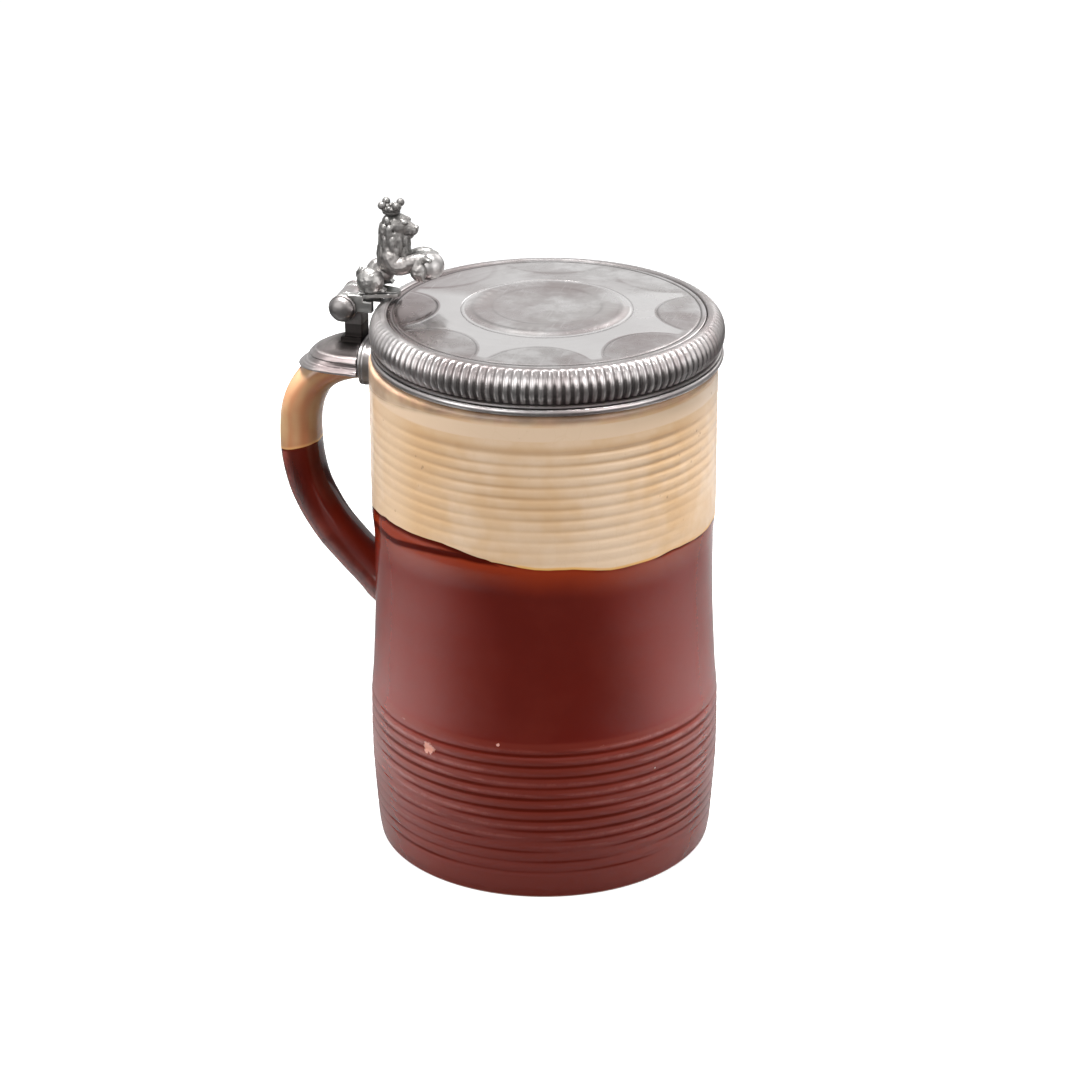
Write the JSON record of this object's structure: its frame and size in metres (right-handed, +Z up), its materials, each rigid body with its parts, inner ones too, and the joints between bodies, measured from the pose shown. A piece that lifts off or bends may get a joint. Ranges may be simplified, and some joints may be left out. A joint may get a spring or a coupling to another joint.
{
  "type": "lidded tankard",
  "caption": "Tall ribbed tankard in two-tone glaze, with a loop handle and a hinged pewter lid that a lion thumbpiece opens.",
  "frame": {"origin": "centre of the pot's flat base, on the pot's axis", "axes": "+Z up along the pot's axis, -X towards the handle, Y along the lid's hinge pin"},
  "size_m": [0.1461, 0.1136, 0.2119],
  "materials": {
    "pot_glaze": "gloss",
    "handle_glaze": "gloss",
    "pewter": "worn pewter, satin",
    "dark_pewter": "pewter, tarnished in its hollows"
  },
  "bodies": {
    "mug": {"pot_body": "pot_glaze", "pulled_handle": "handle_glaze", "root_band": "pewter", "handle_cap": "pewter", "hinge_pin": "pewter"},
    "lid": {"lid_plate": "pewter", "gadroon_rim": "dark_pewter", "lid_collar": "pewter", "lid_medallion": "pewter", "hinge_leaf": "pewter", "lion": "pewter", "lion_crown": "pewter", "lion_ball": "pewter"}
  },
  "joints": [
    {"name": "lid_hinge", "type": "hinge", "parent": "mug", "child": "lid", "pos_m": [-0.0638, 0, 0.1772], "axis": [0, -1, 0], "range_deg": [0, 95]}
  ]
}
